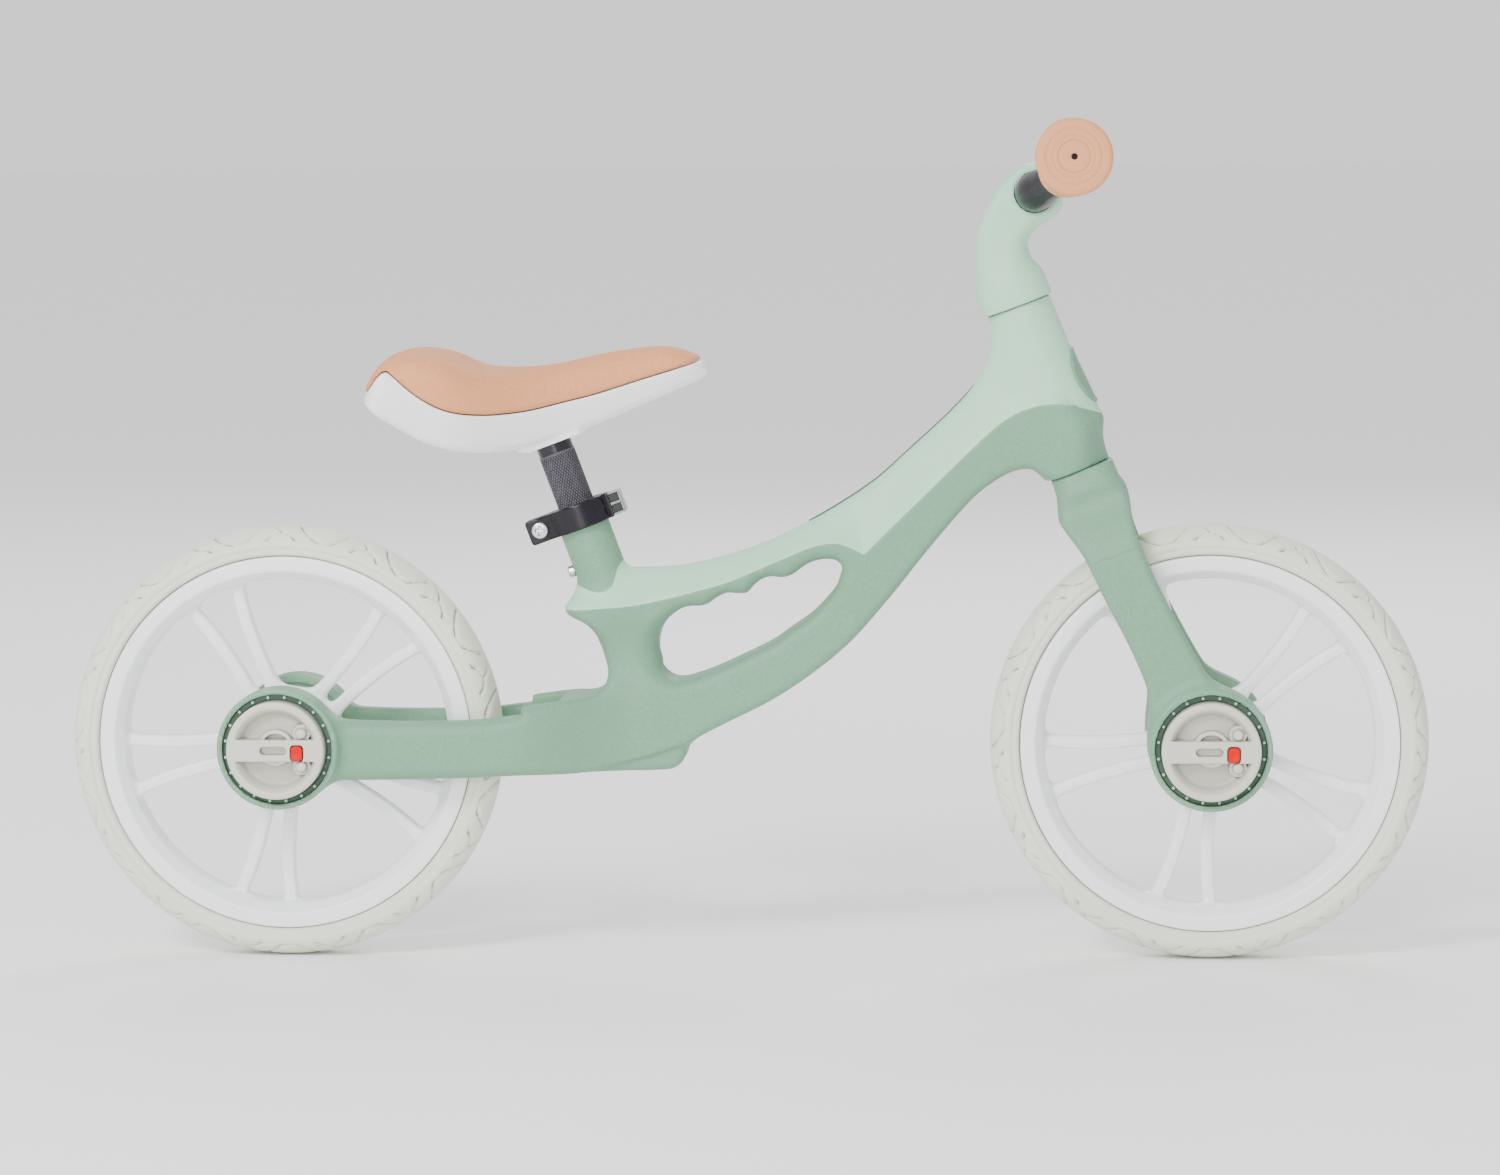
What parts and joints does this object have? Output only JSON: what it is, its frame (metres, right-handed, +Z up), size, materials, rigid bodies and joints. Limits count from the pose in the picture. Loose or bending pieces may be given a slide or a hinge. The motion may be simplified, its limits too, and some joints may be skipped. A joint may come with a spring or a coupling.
{
  "type": "balance bike",
  "caption": "Small balance bike with a two-tone cast frame, grab-handle hole, solid foam tyres on spoked rims, riser bar and height-adjustable padded saddle.",
  "frame": {"origin": "on the ground midway between the wheels, at the bottom centre of the bounding box", "axes": "+X forward, +Y to the rider's left, +Z up"},
  "size_m": [0.865, 0.3934, 0.5324],
  "materials": {
    "light_paint": "satin pale sage paint on a casting",
    "dark_paint": "satin mid sage paint on a casting",
    "deep_green": "satin deep green inlay",
    "black_paint": "gloss black paint",
    "steel": "turned steel",
    "zinc": "zinc-plated screws",
    "tyre": "solid pale foam tyre",
    "rim_white": "moulded white nylon",
    "saddle_white": "gloss white shell",
    "saddle_skin": "matte peach skin over foam",
    "grip_rubber": "matte peach rubber",
    "beige_plastic": "satin beige plastic",
    "orange_plastic": "orange-red button plastic",
    "clear_grey": "frosted pale grey plastic"
  },
  "bodies": {
    "frame": {"frame_lower_body": "dark_paint", "frame_upper_shell": "light_paint", "top_tube_inlay": "deep_green", "head_badge": "deep_green", "head_bush_upper": "steel", "head_bush_lower": "steel", "seat_tube_set_screw": "zinc", "seat_clamp_collar": "black_paint", "seat_clamp_screw": "zinc", "seat_clamp_nut": "zinc", "seat_clamp_cap": "clear_grey", "rear_axle": "steel", "rear_axle_washer_right": "steel", "rear_axle_washer_left": "steel", "rear_axle_cover_left": "beige_plastic"},
    "steering": {"fork": "dark_paint", "steerer_tube": "steel", "stem": "light_paint", "stem_grub_screw": "zinc", "bar_grub_screw": "zinc", "handlebar": "black_paint", "right_grip": "grip_rubber", "left_grip": "grip_rubber", "front_axle": "steel", "front_axle_washer_right": "steel", "front_axle_washer_left": "steel", "front_axle_cover_left": "beige_plastic"},
    "front_wheel": {"front_tyre": "tyre", "front_rim": "rim_white", "front_hub_bearing_right": "steel", "front_hub_bearing_left": "steel", "front_hub_spacer": "steel"},
    "rear_wheel": {"rear_tyre": "tyre", "rear_rim": "rim_white", "rear_hub_bearing_right": "steel", "rear_hub_bearing_left": "steel", "rear_hub_spacer": "steel"},
    "front_knob": {"front_release_knob": "beige_plastic"},
    "front_button": {"front_release_button": "orange_plastic"},
    "rear_knob": {"rear_release_knob": "beige_plastic"},
    "rear_button": {"rear_release_button": "orange_plastic"},
    "saddle": {"seat_post": "black_paint", "saddle_flange": "black_paint", "saddle_shell": "saddle_white", "saddle_pad": "saddle_skin", "saddle_screw_1": "zinc", "saddle_screw_2": "zinc", "saddle_screw_3": "zinc", "saddle_screw_4": "zinc"}
  },
  "joints": [
    {"name": "steering_turn", "type": "hinge", "parent": "frame", "child": "steering", "pos_m": [0.1738, 0, 0.415], "axis": [-0.3486, 0, 0.9373], "range_deg": [-60, 60]},
    {"name": "front_wheel_spin", "type": "hinge", "parent": "steering", "child": "front_wheel", "pos_m": [0.294, 0, 0.1385], "axis": [0, 1, 0], "continuous": true},
    {"name": "rear_wheel_spin", "type": "hinge", "parent": "frame", "child": "rear_wheel", "pos_m": [-0.294, 0, 0.1385], "axis": [0, 1, 0], "continuous": true},
    {"name": "front_knob_turn", "type": "hinge", "parent": "steering", "child": "front_knob", "pos_m": [0.294, 0, 0.1385], "axis": [0, -1, 0], "range_deg": [0, 60]},
    {"name": "front_button_press", "type": "slide", "parent": "front_knob", "child": "front_button", "axis": [0, 1, 0], "range_m": [0, 0.002], "stiffness_N_per_m": 800, "springref_m": -0.001},
    {"name": "rear_knob_turn", "type": "hinge", "parent": "frame", "child": "rear_knob", "pos_m": [-0.294, 0, 0.1385], "axis": [0, -1, 0], "range_deg": [0, 60]},
    {"name": "rear_button_press", "type": "slide", "parent": "rear_knob", "child": "rear_button", "axis": [0, 1, 0], "range_m": [0, 0.002], "stiffness_N_per_m": 800, "springref_m": -0.001},
    {"name": "saddle_height", "type": "slide", "parent": "frame", "child": "saddle", "axis": [-0.3453, 0, 0.9385], "range_m": [-0.03, 0.05]}
  ]
}
